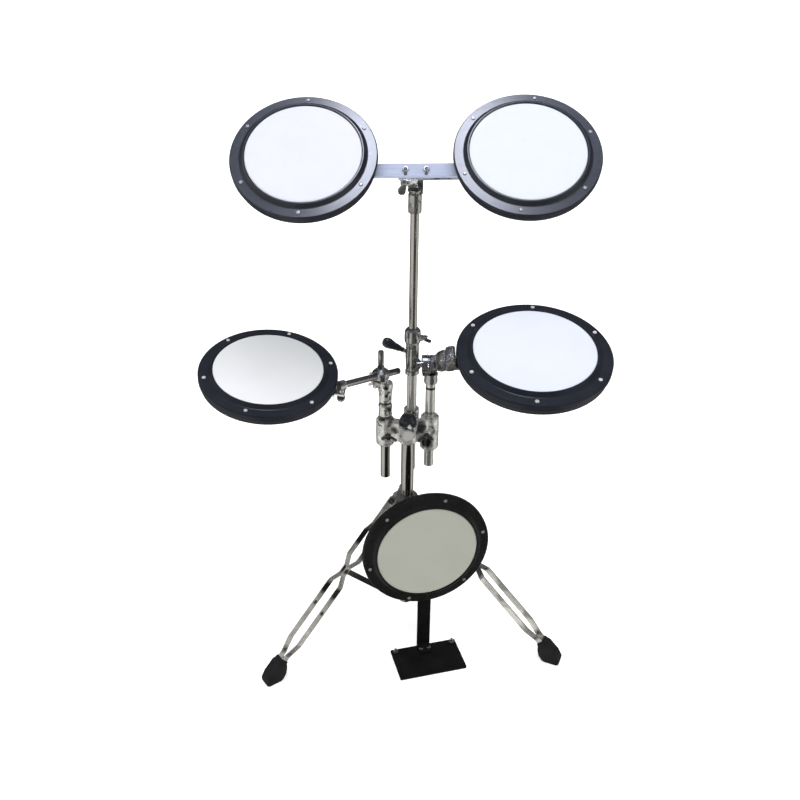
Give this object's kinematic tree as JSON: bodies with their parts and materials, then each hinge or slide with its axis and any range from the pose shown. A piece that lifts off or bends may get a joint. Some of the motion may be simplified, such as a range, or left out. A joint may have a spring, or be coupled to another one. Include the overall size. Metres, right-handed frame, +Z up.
{
  "type": "practice pad drum set",
  "caption": "Practice pads on arms around a central chromed stand with folding tripod legs, and an upright bass pad with a floor plate for a pedal.",
  "frame": {"origin": "middle of the bounding box at floor level", "axes": "+Z up, the player sits on the -Y side, +X to the player's right when facing the pads"},
  "size_m": [0.7088, 0.6792, 1.086],
  "materials": {
    "tube_chrome": "polished",
    "cast_chrome": "satin",
    "steel_strip": "satin",
    "bolt_steel": "polished",
    "foot_rubber": "matte",
    "bar_steel": "satin",
    "rim_black": "semi-gloss",
    "shell_black": "matte",
    "head_white": "matte",
    "plate_black": "matte",
    "grip_black": "satin"
  },
  "bodies": {
    "stand": {"base_tube": "tube_chrome", "lower_collar": "cast_chrome", "hub_casting": "cast_chrome", "bass_plate": "plate_black", "bass_post": "plate_black", "bass_spurs": "bolt_steel", "bass_screws": "bolt_steel", "bass_rim": "rim_black", "bass_head": "head_white", "bass_shell": "shell_black"},
    "strut_left": {"strut_left": "steel_strip"},
    "leg_left": {"leg_left": "steel_strip", "foot_left": "foot_rubber"},
    "strut_right": {"strut_right": "steel_strip"},
    "leg_right": {"leg_right": "steel_strip", "foot_right": "foot_rubber"},
    "strut_rear": {"strut_rear": "steel_strip"},
    "leg_rear": {"leg_rear": "steel_strip", "foot_rear": "foot_rubber"},
    "collar": {"upper_collar": "cast_chrome"},
    "collar_bolt": {"upper_collar_wing_bolt": "bolt_steel"},
    "hub_bolt_left": {"hub_wing_bolt_left": "bolt_steel"},
    "hub_bolt_right": {"hub_wing_bolt_right": "bolt_steel"},
    "column": {"column_tube": "tube_chrome", "column_lock": "cast_chrome", "height_clamp": "cast_chrome"},
    "height_bolt": {"height_wing_bolt": "bolt_steel"},
    "lever": {"column_lever": "grip_black"},
    "upper": {"upper_tube": "tube_chrome", "tilter_base": "cast_chrome"},
    "bar": {"tilter_head": "cast_chrome", "top_bar": "bar_steel", "top_screws": "bolt_steel", "top_left_rim": "rim_black", "top_left_head": "head_white", "top_left_shell": "shell_black", "top_right_rim": "rim_black", "top_right_head": "head_white", "top_right_shell": "shell_black"},
    "tilter_bolt": {"tilter_wing_bolt": "bolt_steel"},
    "left_arm": {"left_arm_tube": "tube_chrome", "left_arm_clamp": "cast_chrome"},
    "left_clamp": {"left_rod_clamp": "cast_chrome"},
    "left_tilt_bolt": {"left_tilt_wing_bolt": "bolt_steel"},
    "left_pad": {"left_rod": "tube_chrome", "left_bracket": "plate_black", "left_screws": "bolt_steel", "left_rim": "rim_black", "left_head": "head_white", "left_shell": "shell_black"},
    "right_arm": {"right_arm_tube": "tube_chrome", "right_tilter_base": "cast_chrome"},
    "right_tilter": {"right_tilter_arm": "cast_chrome"},
    "right_tilt_bolt": {"right_tilt_wing_bolt": "bolt_steel"},
    "right_pad": {"right_arm_rod": "tube_chrome", "right_bracket": "plate_black", "right_screws": "bolt_steel", "right_rim": "rim_black", "right_head": "head_white", "right_shell": "shell_black"}
  },
  "joints": [
    {"name": "fold", "type": "hinge", "parent": "stand", "child": "strut_left", "pos_m": [0.00046, -0.02729, 0.079], "axis": [-0.5878, 0.809, 0], "range_deg": [0, 41]},
    {"name": "leg_left_fold", "type": "hinge", "parent": "strut_left", "child": "leg_left", "pos_m": [-0.09501, -0.09666, 0.19702], "axis": [-0.5878, 0.809, 0], "range_deg": [-82, 0]},
    {"name": "strut_right_fold", "type": "hinge", "parent": "stand", "child": "strut_right", "pos_m": [0.05927, -0.02059, 0.079], "axis": [-0.3907, -0.9205, 0], "range_deg": [0, 41]},
    {"name": "leg_right_fold", "type": "hinge", "parent": "strut_right", "child": "leg_right", "pos_m": [0.1679, -0.0667, 0.19702], "axis": [-0.3907, -0.9205, 0], "range_deg": [-82, 0]},
    {"name": "strut_rear_fold", "type": "hinge", "parent": "stand", "child": "strut_rear", "pos_m": [0.02412, 0.02647, 0.079], "axis": [0.9936, 0.1132, 0], "range_deg": [0, 41]},
    {"name": "leg_rear_fold", "type": "hinge", "parent": "strut_rear", "child": "leg_rear", "pos_m": [0.01076, 0.14373, 0.19702], "axis": [0.9936, 0.1132, 0], "range_deg": [-82, 0]},
    {"name": "collar_slide", "type": "slide", "parent": "stand", "child": "collar", "axis": [0, 0, 1], "range_m": [0, 0.09696]},
    {"name": "collar_bolt_turn", "type": "hinge", "parent": "collar", "child": "collar_bolt", "pos_m": [0.03103, -0.03413, 0.30603], "axis": [0.1132, -0.9936, 0], "continuous": true},
    {"name": "hub_bolt_left_turn", "type": "hinge", "parent": "stand", "child": "hub_bolt_left", "pos_m": [-0.01133, -0.01776, 0.464], "axis": [0.2079, -0.9781, 0], "continuous": true},
    {"name": "hub_bolt_right_turn", "type": "hinge", "parent": "stand", "child": "hub_bolt_right", "pos_m": [0.06442, -0.01556, 0.464], "axis": [-0.2419, -0.9703, 0], "continuous": true},
    {"name": "column_slide", "type": "slide", "parent": "stand", "child": "column", "axis": [0, 0, 1], "range_m": [0, 0.08]},
    {"name": "height_bolt_turn", "type": "hinge", "parent": "column", "child": "height_bolt", "pos_m": [0.05302, 0.04107, 0.647], "axis": [0.9023, -0.4311, 0], "continuous": true},
    {"name": "lever_turn", "type": "hinge", "parent": "column", "child": "lever", "pos_m": [0.02997, 0.06369, 0.6], "axis": [0, 1, 0], "range_deg": [-30, 40]},
    {"name": "upper_slide", "type": "slide", "parent": "column", "child": "upper", "axis": [0, 0, 1], "range_m": [-0.06, 0.06]},
    {"name": "bar_tilt", "type": "hinge", "parent": "upper", "child": "bar", "pos_m": [0.03497, 0.04969, 0.943], "axis": [0.9998, 0, 0.0209], "range_deg": [-30, 25]},
    {"name": "tilter_bolt_turn", "type": "hinge", "parent": "bar", "child": "tilter_bolt", "pos_m": [0.02167, 0.04969, 0.94272], "axis": [-0.9998, 0, -0.0209], "continuous": true},
    {"name": "left_arm_turn", "type": "hinge", "parent": "stand", "child": "left_arm", "pos_m": [-0.01653, 0.00669, 0.464], "axis": [0, 0, 1], "range_deg": [-10, 25]},
    {"name": "left_pad_tilt", "type": "hinge", "parent": "left_arm", "child": "left_clamp", "pos_m": [-0.02503, 0.00669, 0.5665], "axis": [0.7684, -0.64, 0], "range_deg": [-15, 15]},
    {"name": "left_tilt_bolt_turn", "type": "hinge", "parent": "left_arm", "child": "left_tilt_bolt", "pos_m": [-0.03525, 0.0152, 0.5665], "axis": [-0.7684, 0.64, 0], "continuous": true},
    {"name": "left_pad_roll", "type": "hinge", "parent": "left_clamp", "child": "left_pad", "pos_m": [-0.02503, 0.00669, 0.5835], "axis": [-0.6295, -0.7558, 0.1803], "range_deg": [-20, 20]},
    {"name": "right_arm_turn", "type": "hinge", "parent": "stand", "child": "right_arm", "pos_m": [0.07047, 0.00869, 0.464], "axis": [0, 0, 1], "range_deg": [-15, 15]},
    {"name": "right_pad_tilt", "type": "hinge", "parent": "right_arm", "child": "right_tilter", "pos_m": [0.06647, 0.00869, 0.6075], "axis": [-0.9976, -0.0687, 0], "range_deg": [-12, 12]},
    {"name": "right_tilt_bolt_turn", "type": "hinge", "parent": "right_arm", "child": "right_tilt_bolt", "pos_m": [0.0532, 0.00778, 0.6075], "axis": [-0.9976, -0.0687, 0], "continuous": true},
    {"name": "right_pad_roll", "type": "hinge", "parent": "right_tilter", "child": "right_pad", "pos_m": [0.07266, 0.00912, 0.6075], "axis": [0.0607, -0.8813, 0.4687], "range_deg": [-20, 20]}
  ],
  "couplings": [
    {"joint": "leg_left_fold", "follows": "fold", "ratio": -2},
    {"joint": "strut_right_fold", "follows": "fold", "ratio": 1},
    {"joint": "leg_right_fold", "follows": "fold", "ratio": -2},
    {"joint": "strut_rear_fold", "follows": "fold", "ratio": 1},
    {"joint": "leg_rear_fold", "follows": "fold", "ratio": -2},
    {"joint": "collar_slide", "follows": "fold", "m_per_rad": 0.13549}
  ]
}
